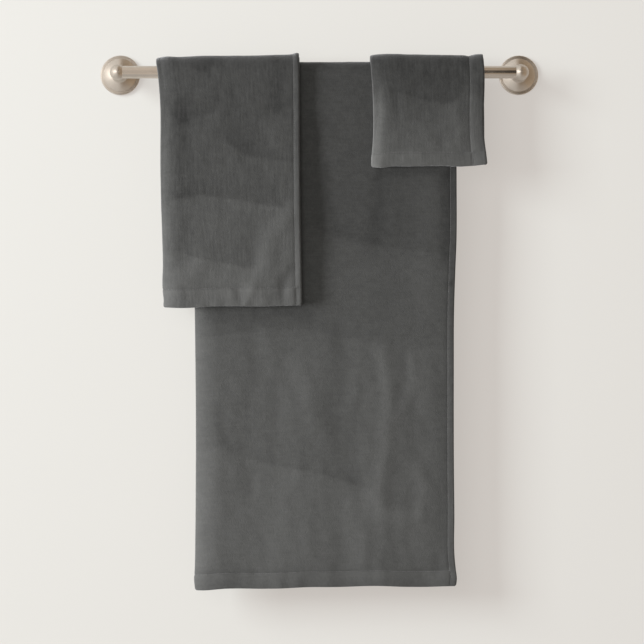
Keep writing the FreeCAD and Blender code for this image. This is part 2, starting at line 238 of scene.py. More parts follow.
def terry(name, colour, ribs, rib_share):
    """Cotton terry: short loops standing in rows, a soft sheen and painted shade in the ground between the
    loops.

    The mesh carries where each point lies on the flat cut (attribute cloth, in metres), how much of a hem it
    is (hem) and the slow changes over the piece (painted_light_and_tone): painted shade and highlight on
    folds, creases, seams and edges, painted shadows under the upper towels, and a tone by height.
    """
    material = bpy.data.materials.new(name)
    n = Nodes(material)
    flat = n.scaled(n.attribute("cloth", "Vector"), (1, 1, 1))
    loops = n.add("ShaderNodeTexVoronoi")
    loops.inputs["Scale"].default_value = LOOPS_PER_METRE
    loops.inputs["Randomness"].default_value = 0.75
    n.link(flat, loops.inputs["Vector"])
    loop = n.range(loops.outputs["Distance"], 0.0, 0.75, 1.0, 0.0)
    rows = n.noise(n.scaled(n.attribute("cloth", "Vector"), ribs), 1.0, 2.0, 0.55)
    tufts = n.noise(flat, TUFTS_PER_METRE, 3.0, 0.6)
    patches = n.noise(flat, PATCHES_PER_METRE)
    blotches = n.noise(flat, BLOTCHES_PER_METRE, 3.0, 0.55)
    hem = n.attribute("hem")

    shade = n.total(
        # The loops darken the ground between them: painted shade in the hollows of the pile
        n.range(loop, 0.0, 1.0, -0.06, 0.05),
        n.vary(tufts, -0.05, 0.05),
        n.vary(rows, -rib_share, rib_share),
        n.vary(blotches, -0.03, 0.03),
        n.vary(patches, -0.06, 0.06),
        # Painted shade, highlights and shadows from the mesh, with the tone by height
        n.attribute("painted_light_and_tone"),
        n.product(hem, 0.06),
    )
    gain = n.math("MAXIMUM", shade, DARKEST_SHADE)
    grey = n.add("ShaderNodeCombineColor")
    for socket in grey.inputs[:3]:
        n.link(gain, socket)
    n.link(n.mix_colour(1.0, colour, grey.outputs[0], "MULTIPLY"), n.shader.inputs["Base Color"])
    n.set_shader(
        Roughness=0.95,
        Specular_IOR_Level=0.15,
        Sheen_Weight=0.35,
        Sheen_Roughness=0.45,
        Sheen_Tint=(0.75, 0.76, 0.78),
    )
    pile = n.product(n.rest_of(n.product(hem, 0.45)), loop)
    n.bump(n.total(n.product(pile, 0.5), n.product(tufts, 0.8), n.product(rows, 0.4)), PILE_DEPTH, 0.6)
    return material


def thread_material():
    """Spun polyester sewing thread: dark, slightly shiny, with its ply showing."""
    material = bpy.data.materials.new("sewing_thread")
    n = Nodes(material)
    ply = n.noise(n.object_place((PLIES_PER_METRE,) * 3), 1.0)
    n.link(n.mix_colour(ply, (0.03, 0.03, 0.031), (0.06, 0.06, 0.062)), n.shader.inputs["Base Color"])
    n.set_shader(Roughness=0.55, Sheen_Weight=0.2)
    n.bump(ply, 0.2 * MM, 0.5)
    return material


# How fine and how strong the marks in the materials are
CLOUDS_PER_METRE = 30
CLOUD_SHADE = 0.86
GRAIN_DEPTH = 0.02 * MM
LOOPS_PER_METRE = 900
TUFTS_PER_METRE = 230
PATCHES_PER_METRE = 85
BLOTCHES_PER_METRE = 14
PLIES_PER_METRE = 900
PILE_DEPTH = 0.8 * MM
DARKEST_SHADE = 0.2

NICKEL = (0.60, 0.54, 0.475)
STEEL = (0.50, 0.50, 0.52)
CHARCOAL = (0.0545, 0.0552, 0.0535)

post_metal = satin_nickel("satin_nickel_turned", NICKEL, 0.34, (700, 2500, 700), turned=0.8)
bar_metal = satin_nickel("satin_nickel_drawn", NICKEL, 0.13, (120, 3500, 3500))
bracket_metal = satin_nickel("bracket_steel", STEEL, 0.42, (900, 900, 900))
bath_terry = terry("bath_terry", CHARCOAL, (30, 360, 1), 0.035)
hand_terry = terry("hand_terry", CHARCOAL, (330, 30, 1), 0.09)
wash_terry = terry("wash_terry", CHARCOAL, (330, 30, 1), 0.08)
sewing_thread = thread_material()

for node_name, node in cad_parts.items():
    if "bracket" in node_name or "screw" in node_name:
        finish = bracket_metal
    elif node_name == "bar_tube":
        finish = bar_metal
    else:
        finish = post_metal
    if not node.material_slots:
        node.data.materials.append(finish)
    for slot in node.material_slots:
        slot.material = finish

# ---------------------------------------------------------------------------------------------
# Towels
# ---------------------------------------------------------------------------------------------

HIDDEN_GRID = 13 * MM  # columns of the inner layer
BACK_GRID = 9 * MM  # rows of the back panel
FOLD_COLUMNS = 19
BEND_ROWS = 21
CORNER = 4 * MM  # radius of the cut's corners
BACK_FROM, BACK_BY = 0.35 * math.pi, 0.65 * math.pi  # turn over the bar where the back's outline takes over
TILT_BY = 0.9  # share of a panel's drop by which its end is fully tilted
HEM_LIFT = 0.35 * MM  # a hem's middle surface lies further out than the pile's
HEM_EXTRA = 0.16  # share by which a hem is thicker than the pile
HEM_SOFT = 0.8 * MM
SEAM_PINCH = 0.34  # share by which a seam is thinner
END_SEAM = 1.8 * MM
SIDE_SEAM = 2.2 * MM
UNEVEN = 0.12 * MM
UNEVEN_SIZE = 9 * MM
ROUNDED_EDGE = 2.0 * MM
PILE_BELOW = 3 * MM  # the lower face reads its pile from this far off, so that the faces differ

STITCH_PITCH = 3.4 * MM
STITCH_LENGTH = 2.6 * MM
THREAD_RADIUS = 0.27 * MM
THREAD_RISE = 0.35 * MM
THREAD_SUNK = 0.25 * MM
THREAD_SIDES = 6
THREAD_TIP = 0.35  # share of the radius left at a stitch's ends


class Towel:
    """One towel: its cut, how it hangs, and the mesh worked out from both."""

    def __init__(self, name, cut, grid, layer, play, end_hem, side_hem, fold, hang):
        self.name = name
        self.grid = grid
        self.width, self.length = cut
        self.layer = layer
        self.end_hem, self.side_hem = end_hem, side_hem
        self.fold_long = fold
        self.hang = hang
        low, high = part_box(f"{name}_terry")
        self.centre_y = (low.y + high.y) / 2
        self.radius = high.z - (2 * layer + play) / 2
        self.half = (layer + play) / 2

    # -- the flat cut ------------------------------------------------------------------------

    def across_cut(self):
        """Where the columns lie across the cut, closer together at hems, seams and the fold."""
        middle = self.width / 2
        nose = self.nose_length() / 2
        outer = spaced(edge_steps(self.side_hem), middle - nose, self.grid)
        fold = middle + np.linspace(-1, 1, FOLD_COLUMNS)[1:-1] * nose
        inner = self.width - spaced(edge_steps(self.side_hem), middle - nose, HIDDEN_GRID)[::-1]
        return np.concatenate([outer, fold, inner])

    def along_cut(self):
        """Where the rows lie along the cut, closer together at hems, seams and over the bar."""
        front = self.front_length()
        bend = math.pi * self.radius
        near = spaced(edge_steps(self.end_hem), front, self.grid)
        over = front + np.linspace(0, bend, BEND_ROWS)[1:-1]
        far = self.length - spaced(edge_steps(self.end_hem), self.length - front - bend, BACK_GRID)[::-1]
        return np.concatenate([near, over, far])

    def nose_length(self):
        """Length of cloth that goes round the lengthwise fold: half an ellipse."""
        a, b = self.fold_long, self.half
        return math.pi * (3 * (a + b) - math.sqrt((3 * a + b) * (a + 3 * b))) / 2

    def front_length(self):
        """Cloth from the front end up to the height of the bar's axis."""
        return -self.hang["front_end"]

    # -- where it hangs ----------------------------------------------------------------------

    def surface(self, c, r):
        """Points of the sheet's middle surface for the cut positions c (across) and r (along)."""
        hang = self.hang
        front, bend = self.front_length(), math.pi * self.radius
        turn = np.clip((r - front) / self.radius, 0, math.pi)
        down_front = np.maximum(front - r, 0)
        down_back = np.maximum(r - front - bend, 0)
        z_flat = np.where(r <= front, -down_front, self.radius * np.sin(turn))
        z_flat = np.where(r >= front + bend, -down_back, z_flat)
        is_back = smooth(turn, BACK_FROM, BACK_BY)

        left = curve_through(hang["left_edge"], z_flat) * (1 - is_back)
        left = left + curve_through(hang["left_edge_back"], z_flat) * is_back
        right = curve_through(hang["right_edge"], z_flat) * (1 - is_back)
        right = right + curve_through(hang["right_edge_back"], z_flat) * is_back

        near_end = np.clip(np.minimum(r, self.length - r) / CORNER, 0, 1)
        corner = CORNER * (1 - np.sqrt(1 - (1 - near_end) ** 2))
        left, right = left + corner, right - 0.8 * corner

        middle, nose, a = self.width / 2, self.nose_length() / 2, self.fold_long
        ease = np.clip((c - (middle - nose)) / (2 * nose), 0, 1)
        round_fold = math.pi * ease
        outer_share = np.clip(c / (middle - nose), 0, 1)
        inner_share = np.clip((c - middle - nose) / (middle - nose), 0, 1)
        inner_right = right - hang["under_edge"]
        x = np.where(c <= middle, right + (left + a - right) * outer_share, left + a)
        x = np.where(c >= middle + nose, left + a + (inner_right - left - a) * inner_share, x)
        in_fold = (c > middle - nose) & (c < middle + nose)
        x = np.where(in_fold, left + a - a * np.sin(round_fold), x)
        level = np.cos(round_fold)
        share = np.clip((x - left) / (right - left), 0, 1)

        swell = hang["swell"](x, z_flat, x - left, is_back)
        off = self.half * level + np.minimum(swell, 0)
        off = off + np.maximum(swell, 0) * np.where(level > 0, 1, smooth(-level, 1.2, -0.2))
        hem = self.hem_share(c, r)
        off = off + HEM_LIFT * hem * np.sign(level)

        out = self.radius + off + hang["top_lift"](x, turn)
        drop = hang["front_tilt"](share) * smooth(down_front, 0, TILT_BY * front)
        rise = hang["back_tilt"](share) * smooth(down_back, 0, TILT_BY * hang["back_drop"])
        y = self.centre_y - out * np.cos(turn)
        z = np.where(r <= front, z_flat - drop, out * np.sin(turn))
        z = np.where(r >= front + bend, z_flat - rise, z)
        return np.stack([x, y, z], -1), share, is_back

    def hem_share(self, c, r):
        """1 on a hem, 0 on the pile."""
        ends = np.minimum(r, self.length - r)
        sides = np.minimum(c, self.width - c)
        on_end = 1 - smooth(ends, self.end_hem - HEM_SOFT, self.end_hem + HEM_SOFT)
        on_side = 1 - smooth(sides, self.side_hem - HEM_SOFT, self.side_hem + HEM_SOFT)
        return np.maximum(on_end, on_side)

    def thickness(self, c, r):
        """Thickness of the sheet: pile, thicker hems, pinched seams and rounded edges."""
        ends = np.minimum(r, self.length - r)
        sides = np.minimum(c, self.width - c)
        thick = self.layer * (1 + HEM_EXTRA * self.hem_share(c, r))
        pinch = np.maximum(bell(ends, self.end_hem, END_SEAM), bell(sides, self.side_hem, SIDE_SEAM))
        thick = thick * (1 - SEAM_PINCH * pinch)
        thick = thick + UNEVEN * noise(c, r, UNEVEN_SIZE, UNEVEN_SIZE, 5)
        near = np.clip(np.minimum(ends, sides) / ROUNDED_EDGE, 0, 1)
        return thick * np.sqrt(np.maximum(1 - (1 - near) ** 2, 0))

    # -- mesh --------------------------------------------------------------------------------

    def build(self, material):
        """The closed mesh of the sheet, with both its faces."""
        c, r = np.meshgrid(self.across_cut(), self.along_cut())
        middle, share, is_back = self.surface(c, r)
        out = self.normals(middle)
        half = self.thickness(c, r)[..., None] / 2
        front_face, back_face = middle + out * half, middle - out * half
        index = np.arange(c.size).reshape(c.shape)
        under = index + c.size
        for rim in (np.s_[0, :], np.s_[-1, :], np.s_[:, 0], np.s_[:, -1]):
            under[rim] = index[rim]
        points = np.concatenate([front_face.reshape(-1, 3), back_face.reshape(-1, 3)])
        faces = np.concatenate([quad_faces(index), quad_faces(under)[:, ::-1]])
        used = np.unique(faces)
        new_number = np.full(2 * c.size, -1)
        new_number[used] = np.arange(len(used))
        cloth = np.stack([c, r, np.zeros_like(c)], -1).reshape(-1, 3)
        cloth = np.concatenate([cloth, cloth + (0, 0, PILE_BELOW)])
        # Painted shade, highlights and shadows, with the tone by height, for the material
        painted_light_and_tone = self.hang["painted_light_and_tone"](middle[..., 0], middle[..., 2], share, is_back).reshape(-1)
        hem = self.hem_share(c, r).reshape(-1)
        ob = mesh_object(self.name, points[used], new_number[faces], material)
        add_attribute(ob, "cloth", "FLOAT_VECTOR", cloth[used])
        add_attribute(ob, "painted_light_and_tone", "FLOAT", np.concatenate([painted_light_and_tone, painted_light_and_tone])[used])
        add_attribute(ob, "hem", "FLOAT", np.concatenate([hem, hem])[used])
        return ob

    def normals(self, middle):
        """Unit normals of the middle surface, away from the bar on the outer layer."""
        across = np.gradient(middle, axis=1)
        along = np.gradient(middle, axis=0)
        out = np.cross(along, across)
        return out / np.maximum(np.linalg.norm(out, axis=-1, keepdims=True), 1e-12)

    def point_on_face(self, c, r):
        """Points on the outer face, and the direction out of it."""
        step = 0.2 * MM
        here = self.surface(c, r)[0]
        across = self.surface(c + step, r)[0] - here
        along = self.surface(c, r + step)[0] - here
        out = np.cross(along, across)
        out = out / np.linalg.norm(out, axis=-1, keepdims=True)
        half = self.thickness(c, r)[..., None] / 2
        return here + out * half, out

    def stitches(self, label, start, end, material):
        """A row of lockstitches along the outer face, from one cut position to another."""
        start, end = np.array(start), np.array(end)
        span = np.linalg.norm(end - start)
        along = (end - start) / span
        shape = np.linspace(-0.5, 0.5, 6)
        height = (1 - (2 * np.abs(shape)) ** 4) * THREAD_RISE - THREAD_SUNK
        middle = (np.arange(int(span / STITCH_PITCH)) + 0.5) * STITCH_PITCH
        spots = start + along * (middle[:, None] + shape * STITCH_LENGTH)[..., None]
        lines, out = self.point_on_face(spots[..., 0], spots[..., 1])
        return tubes(label, lines + out * height[:, None], out, material)


def edge_steps(hem):
    """Offsets from a cut edge to just past its seam: round the edge, over the hem, through the seam."""
    rounding = np.array([0, 0.08, 0.3, 0.7, 1.3, 2.0, 3.2]) * MM
    seam = hem + np.array([-3.2, -2.0, -1.2, -0.6, 0, 0.6, 1.2, 2.0, 3.2]) * MM
    between = np.arange(rounding[-1] + 4 * MM, seam[0] - 2 * MM, 4 * MM)
    return np.unique(np.round(np.concatenate([rounding, between, seam]), 7))


def spaced(head, stop, step):
    """The offsets in head, then evenly on to stop with about the given step."""
    start = head[-1]
    count = max(int(round((stop - start) / step)), 2)
    return np.concatenate([head, np.linspace(start, stop, count + 1)[1:]])


def quad_faces(index):
    """Quads of a grid of vertex numbers."""
    a, b = index[:-1, :-1], index[:-1, 1:]
    c, d = index[1:, 1:], index[1:, :-1]
    return np.stack([a, b, c, d], -1).reshape(-1, 4)


def mesh_object(name, points, faces, material, smooth_faces=True):
    """A mesh object from arrays of points and quads."""
    mesh = bpy.data.meshes.new(name)
    mesh.vertices.add(len(points))
    mesh.vertices.foreach_set("co", np.asarray(points, np.float32).ravel())
    sides = faces.shape[1]
    mesh.loops.add(faces.size)
    mesh.loops.foreach_set("vertex_index", faces.astype(np.int32).ravel())
    mesh.polygons.add(len(faces))
    mesh.polygons.foreach_set("loop_start", np.arange(0, faces.size, sides, dtype=np.int32))
    mesh.update(calc_edges=True)
    mesh.validate()
    mesh.polygons.foreach_set("use_smooth", np.full(len(mesh.polygons), smooth_faces))
    mesh.materials.append(material)
    ob = bpy.data.objects.new(name, mesh)
    bpy.context.scene.collection.objects.link(ob)
    return ob


def add_attribute(ob, name, kind, values):
    """A point attribute on a mesh."""
    attribute = ob.data.attributes.new(name, kind, "POINT")
    key = "vector" if kind == "FLOAT_VECTOR" else "value"
    attribute.data.foreach_set(key, np.asarray(values, np.float32).ravel())


def tubes(name, lines, out, material):
    """Many short round threads in one mesh: lines is (threads, points along each, 3)."""
    threads, steps = lines.shape[:2]
    ahead = np.gradient(lines, axis=1)
    ahead /= np.linalg.norm(ahead, axis=-1, keepdims=True)
    side = np.cross(ahead, out)
    side /= np.linalg.norm(side, axis=-1, keepdims=True)
    up = np.cross(side, ahead)
    turn = np.linspace(0, 2 * math.pi, THREAD_SIDES, endpoint=False)
    slim = THREAD_RADIUS * np.array([THREAD_TIP] + [1.0] * (steps - 2) + [THREAD_TIP])[:, None, None]
    ring = side[:, :, None] * np.cos(turn)[:, None] + up[:, :, None] * np.sin(turn)[:, None]
    points = lines[:, :, None] + ring * slim
    number = np.arange(threads * steps * THREAD_SIDES).reshape(threads, steps, THREAD_SIDES)
    after = np.roll(number, -1, axis=2)
    walls = np.stack([number[:, :-1], after[:, :-1], after[:, 1:], number[:, 1:]], -1).reshape(-1, 4)
    caps = []
    for end, flip in ((0, True), (-1, False)):
        rim = number[:, end]
        for k in range(THREAD_SIDES // 2 - 1):
            cap = np.stack([rim[:, k], rim[:, k + 1], rim[:, -2 - k], rim[:, -1 - k]], -1)
            caps.append(cap[:, ::-1] if flip else cap)
    faces = np.concatenate([walls, *caps])
    return mesh_object(name, points.reshape(-1, 3), faces, material)


# Where a mark (path, width, relief, painted shading) has its relief and its painted shade or highlight
RELIEF, PAINTED_SHADING = 2, 3
LINE_SHARP = 3 * MM
LINE_ENDS = 0.02


def distance_to(path, x, z):
    """Distance of each point of the front from a path given in millimetres."""
    nearest = np.full_like(x, np.inf)
    path = np.array(path if len(path) > 1 else path * 2, float) * MM
    for (x0, z0), (x1, z1) in zip(path[:-1], path[1:]):
        dx, dz = x1 - x0, z1 - z0
        t = np.clip(((x - x0) * dx + (z - z0) * dz) / max(dx * dx + dz * dz, 1e-12), 0, 1)
        nearest = np.minimum(nearest, np.hypot(x - x0 - t * dx, z - z0 - t * dz))
    return nearest


def strokes(marks, x, z, which):
    """Sum of soft marks along paths; which is RELIEF (mm) or PAINTED_SHADING (painted shade or highlight, as
    a share).
    """
    total = np.zeros_like(x)
    for mark in marks:
        path, width = mark[:2]
        if mark[which]:
            total = total + mark[which] * np.exp(-((distance_to(path, x, z) / (width * MM)) ** 2))
    return total


def painted_crease_shading(lines, x, z, darker, lighter, fade):
    """Painted shade above each crease line and painted light below it, as if lit from above."""
    painted_light_and_tone = np.zeros_like(x)
    for points, strength in lines:
        line = np.interp(x, [p[0] for p in points], [p[1] for p in points])
        first, last = points[0][0], points[-1][0]
        inside = smooth(x, first - LINE_ENDS, first + LINE_ENDS)
        inside = inside * (1 - smooth(x, last - LINE_ENDS, last + LINE_ENDS))
        above = z - line
        near = strength * inside * np.exp(-np.abs(above) / fade)
        painted_light_and_tone = painted_light_and_tone - darker * near * smooth(above, -LINE_SHARP, LINE_SHARP)
        painted_light_and_tone = painted_light_and_tone + lighter * near * smooth(-above, -LINE_SHARP, LINE_SHARP)
    return painted_light_and_tone


def creases(lines, x, z, depth, width):
    """Shallow valleys along the lines where the towel was once folded."""
    total = np.zeros_like(x)
    for points, strength in lines:
        path = [(px / MM, pz / MM) for px, pz in points]
        total = total + strength * depth * np.exp(-distance_to(path, x, z) / width)
    return total


# -- bath towel ----------------------------------------------------------------------------------

# Crease lines: shallow valleys in the relief, with painted shade above each line and painted light below
BATH_CREASE_LINES = [
    ([(-0.015, -0.230), (0.020, -0.250), (0.050, -0.257), (0.095, -0.263), (0.140, -0.268),
      (0.200, -0.280)], 1.0),
    ([(-0.175, -0.402), (-0.090, -0.391), (-0.030, -0.388), (0.000, -0.393), (0.085, -0.410),
      (0.190, -0.420)], 1.0),
    ([(-0.165, -0.562), (-0.125, -0.578), (-0.075, -0.593), (0.000, -0.606), (0.050, -0.622),
      (0.078, -0.630)], 1.5),
]
# Soft marks on the front: path in mm, width in mm, relief in mm (out is positive), painted shade (negative)
# or highlight (positive) as a share, going with the relief
BATH_MARKS = [
    ([(97, -420), (105, -470), (105, -570), (95, -605), (86, -640), (98, -664), (125, -674), (150, -672)],
     13, 1.7, 0.12),
    ([(152, -668), (160, -630), (150, -598)], 9, 0.8, 0.08),
    ([(128, -640)], 15, -0.6, -0.05),
    ([(140, -430), (144, -462), (138, -492), (120, -520)], 7, 0.7, 0.04),
    ([(129, -425), (131, -468), (119, -484)], 6, -0.5, -0.06),
    ([(34, -400), (34, -450), (33, -485), (20, -520), (28, -535)], 16, -1.3, -0.10),
    ([(56, -520), (50, -560), (46, -600), (55, -625)], 14, -0.7, -0.06),
    ([(50, -618)], 14, -0.2, -0.08),
    ([(60, -455), (52, -500)], 6, 0.4, 0.03),
    ([(76, -568), (62, -590)], 5, 0.3, 0.05),
    ([(186, -440), (188, -560), (184, -740)], 13, -0.8, -0.10),
    ([(165, -530), (172, -548)], 14, -0.6, -0.09),
    ([(150, -470), (160, -510)], 8, 0.3, 0.03),
    ([(-80, -400), (-75, -430), (-68, -455)], 9, 0.5, 0.04),
    ([(-30, -440), (-12, -480), (-6, -535)], 14, 0.8, 0.05),
    ([(-102, -395), (-95, -450), (-108, -505)], 11, -0.6, -0.05),
    ([(-150, -505), (-146, -540), (-130, -572)], 9, -0.6, -0.07),
    ([(-62, -470), (-58, -560)], 10, -0.3, -0.03),
    ([(-156, -585), (-166, -650)], 18, 0.8, 0.06),
    ([(-100, -600), (-105, -650)], 8, -0.5, -0.05),
    ([(-110, -660), (-120, -705)], 10, 0.5, 0.03),
    ([(-30, -628), (-46, -652)], 6, -0.3, -0.05),
    ([(-62, -690), (-58, -735)], 18, 0.6, 0.03),
    ([(-18, -700), (-14, -735)], 10, 0.5, 0.03),
    ([(30, -650), (36, -740)], 12, -0.5, -0.03),
    ([(95, -738), (116, -733)], 9, -0.5, -0.06),
    ([(72, -705), (66, -742)], 9, 0.5, 0.02),
    ([(150, -695), (146, -735)], 16, 0.6, 0.03),
    ([(176, -745)], 10, -0.4, -0.08),
    ([(-155, -715), (-170, -745)], 14, 0.5, 0.04),
    ([(91, -160), (90, -210), (86, -262)], 12, -0.5, -0.10),
    ([(166, -165), (164, -240), (160, -340)], 22, 0.6, 0.09),
    ([(64, -210), (58, -255)], 8, 0.2, 0.03),
    # Painted shade down the right edge and side seam, where the towel turns from the light, and along the end
    # seam and the end
    ([(190, -160), (189, -290)], 7, -0.4, -0.16),
    ([(199, -150), (199, -320)], 5, 0.0, -0.24),
    ([(199, -320), (197, -745)], 5, 0.0, -0.26),
    ([(192, -320), (190, -745)], 4, 0.0, -0.07),
    ([(-190, -757), (-60, -754), (190, -751)], 2.2, 0.0, -0.09),
    ([(-190, -777), (205, -773)], 9, 0.0, -0.10),
    ([(60, -305), (150, -300)], 22, 0.0, 0.04),
    # Painted shadows under the hand towel's end and under the washcloth's end
    ([(-160, -362), (-20, -362)], 20, 0.0, -0.17),
    ([(95, -150), (195, -150)], 12, 0.0, -0.13),
    ([(20, -120), (60, -80)], 14, 0.2, 0.03),
    ([(30, -235), (48, -245)], 12, -0.2, -0.05),
]
# Tone by height, from over the bar down to the front end
BATH_FALL = [(0.02, 0.54), (-0.05, 0.55), (-0.20, 0.60), (-0.28, 0.68), (-0.36, 0.78), (-0.43, 0.88),
             (-0.58, 0.95), (-0.72, 0.98), (-0.78, 0.92)]

# How far the front end hangs below level (mm) along the share of the width
BATH_END = [(0.0, 4.0), (0.02, 4.0), (0.10, 1.5), (0.25, 1.45), (0.33, 0.9), (0.41, -0.8), (0.55, -1.2),
            (0.70, -2.9), (0.80, -1.5), (0.88, -1.2), (1.0, -2.6)]


def bath_swell(x, z, from_fold, is_back):
    """How far the bath towel's panels stand out from straight down.

    Above the ends of the two upper towels the front stays back, so that they can slide over it.
    """
    low = smooth(-z, 0.36, 0.50)
    loose = noise(x, z, 0.036, 0.20, 11) * 0.8 * MM + noise(x, z, 0.085, 0.30, 12) * 1.6 * MM
    small = noise(x, z, 0.016, 0.055, 13) * 0.45 * MM
    small = small + noise(x + 0.3 * z, z, 0.011, 0.030, 14) * 0.20 * MM
    front = strokes(BATH_MARKS, x, z, RELIEF) * MM + low * loose + (0.25 + 0.75 * low) * small
    front = front - 2.0 * MM * smooth(-z, 0.03, 0.16) * (1 - low)
    front = front - creases(BATH_CREASE_LINES, x, z, depth=1.0 * MM, width=0.022)
    front = np.minimum(front, 0.5 * MM + 9 * MM * low)
    hem_wave = noise(x, z, 0.05, 0.5, 15) * 1.5 * MM * smooth(-z, 0.70, 0.78)
    pucker = noise(x, z, 0.012, 0.03, 16) * 0.4 * MM * smooth(-z, 0.735, 0.757)
    back = smooth(-z, 0.30, 0.60) * loose * 0.8 + small
    round_back = 6.5 * MM * np.clip(1 - from_fold / 0.034, 0, 1) ** 2 * smooth(-z, 0.01, 0.10)
    return (front + hem_wave + pucker) * (1 - is_back) + back * is_back - round_back


def bath_painted_light_and_tone(x, z, share, is_back):
    """Darker at the top, lighter lower down, with painted shade and light at creases and soft marks and a
    painted highlight along the fold.
    """
    front = painted_crease_shading(BATH_CREASE_LINES, x, z, darker=0.085, lighter=0.035, fade=0.050)
    front = front + strokes(BATH_MARKS, x, z, PAINTED_SHADING)
    # The last term is a painted highlight along the rounded fold
    return curve_through(BATH_FALL, z) + front * (1 - is_back) + 0.10 * bell(share, 0, 0.03)


bath = Towel(
    "bath_towel",
    cut=(0.780, 1.524),
    grid=5 * MM,
    layer=2.6 * MM,
    play=0.3 * MM,
    end_hem=23 * MM,
    side_hem=9 * MM,
    fold=15 * MM,
    hang={
        "front_end": -0.7785,
        "back_drop": 0.704,
        "left_edge": [(-0.78, -0.1864), (-0.762, -0.1878), (-0.745, -0.1870), (-0.70, -0.1862),
                      (-0.60, -0.1854), (-0.50, -0.1854), (-0.42, -0.1862), (-0.36, -0.1870), (0.0, -0.1872)],
        "left_edge_back": [(-0.70, -0.1846), (-0.35, -0.1860), (0.0, -0.1872)],
        "right_edge": [(-0.78, 0.2062), (-0.766, 0.2074), (-0.755, 0.2060), (-0.735, 0.2040),
                       (-0.67, 0.2037), (-0.60, 0.2030), (-0.45, 0.2028), (-0.36, 0.2033), (-0.30, 0.2052),
                       (-0.26, 0.2068), (-0.17, 0.2071), (0.0, 0.2056)],
        "right_edge_back": [(-0.70, 0.2008), (-0.35, 0.2014), (-0.05, 0.2052), (0.0, 0.2056)],
        "under_edge": 2.2 * MM,
        "swell": bath_swell,
        "top_lift": lambda x, turn: 0.15 * MM * noise(x, turn, 0.05, 1.0, 17) * np.sin(turn),
        "front_tilt": lambda share: MM * curve_through(BATH_END, share),
        "back_tilt": lambda share: -3.0 * MM + 6.0 * MM * share,
        "painted_light_and_tone": bath_painted_light_and_tone,
    },
)

# -- hand towel ----------------------------------------------------------------------------------

# Crease lines: shallow valleys in the relief, with painted shade above each line and painted light below
HAND_CREASE_LINES = [
    ([(-0.150, -0.104), (-0.125, -0.118), (-0.112, -0.128), (-0.085, -0.131), (-0.034, -0.138)], 1.3),
    ([(-0.225, -0.195), (-0.175, -0.187), (-0.100, -0.198), (-0.050, -0.206)], 2.0),
    ([(-0.212, -0.272), (-0.190, -0.280), (-0.150, -0.288), (-0.100, -0.298)], 2.2),
    ([(-0.205, 0.012), (-0.173, -0.003), (-0.150, 0.014)], 0.8),
    ([(-0.225, -0.064), (-0.206, -0.079), (-0.185, -0.070), (-0.150, -0.060)], 1.1),
    ([(-0.082, -0.040), (-0.067, -0.066), (-0.042, -0.052)], 1.1),
]
# Soft marks as for the bath towel, with painted shade or highlight going with the relief
HAND_MARKS = [
    ([(-180, 16), (-172, 2), (-158, 16)], 12, -0.2, -0.09),
    ([(-206, -48), (-205, -70)], 15, -0.5, -0.13),
    ([(-200, -85), (-196, -160), (-198, -240)], 13, -0.5, -0.08),
    ([(-207, -262)], 15, -0.4, -0.07),
    ([(-135, -30), (-125, -80), (-114, -112)], 18, -0.4, -0.06),
    ([(-112, -112)], 14, 0.0, -0.09),
    ([(-62, 12), (-64, -30), (-68, -55)], 15, -0.3, -0.10),
    ([(-70, -80), (-58, -112)], 14, 0.7, 0.10),
    ([(-92, -232), (-98, -262), (-93, -292)], 14, -0.8, -0.05),
    ([(-40, -205), (-62, -236), (-76, -264), (-86, -300), (-102, -325)], 13, 1.4, 0.09),
    ([(-44, -225), (-46, -275)], 12, 0.8, 0.07),
    ([(-36, -297), (-52, -315), (-57, -345)], 8, -1.2, -0.12),
    ([(-176, -288), (-192, -305), (-212, -330)], 16, 1.2, 0.10),
    ([(-222, -298)], 10, -0.5, -0.05),
    ([(-175, -100), (-180, -150)], 14, 0.3, 0.02),
    ([(-160, -215), (-165, -260)], 14, 0.4, 0.02),
    ([(-130, -300), (-134, -322)], 14, 0.5, 0.03),
    ([(-122, -332), (-118, -350)], 4, -0.8, -0.10),
    ([(-99, -328), (-112, -350)], 5, 0.8, 0.06),
    ([(-88, -330), (-84, -345)], 6, 0.6, 0.05),
    ([(-68, -332), (-72, -350)], 5, -0.5, -0.04),
    ([(-43, -330), (-40, -350)], 7, 0.5, 0.07),
    # Painted shade along the end seam and a painted highlight just below it
    ([(-232, -328), (-28, -326)], 1.8, 0.0, -0.06),
    ([(-232, -332), (-28, -330)], 2.2, 0.0, 0.06),
]
HAND_FALL = [(0.03, 0.56), (0.0, 0.60), (-0.06, 0.62), (-0.15, 0.72), (-0.20, 0.78), (-0.27, 0.89),
             (-0.32, 0.97), (-0.36, 0.97)]

# How far the towel stands up over the bar (mm) along X
HAND_TOP = [(-0.245, 0.0), (-0.234, 0.0), (-0.218, -1.5), (-0.200, -0.8), (-0.180, 0.2), (-0.110, 0.4),
            (-0.085, 0.9), (-0.055, 2.0), (-0.030, 1.7)]


def hand_swell(x, z, from_fold, is_back):
    """The hand towel hangs loosely over the bath towel and flares a little at its end."""
    off = 2.2 * MM + 1.8 * MM * smooth(-z, 0.0, 0.30)
    loose = noise(x, z, 0.040, 0.17, 21) * 0.6 * MM * smooth(-z, 0.05, 0.2)
    small = noise(x, z, 0.014, 0.04, 22) * 0.25 * MM
    pucker = noise(x, z, 0.011, 0.03, 23) * 0.5 * MM * smooth(-z, 0.31, 0.335)
    front = off + strokes(HAND_MARKS, x, z, RELIEF) * MM + loose + small + pucker
    front = front - creases(HAND_CREASE_LINES, x, z, depth=0.7 * MM, width=0.018)
    back = off * 0.6 + loose + small
    front = front - 4.6 * MM * np.clip(1 - from_fold / 0.028, 0, 1) ** 2
    return np.maximum(front * (1 - is_back) + back * is_back, -0.8 * MM)


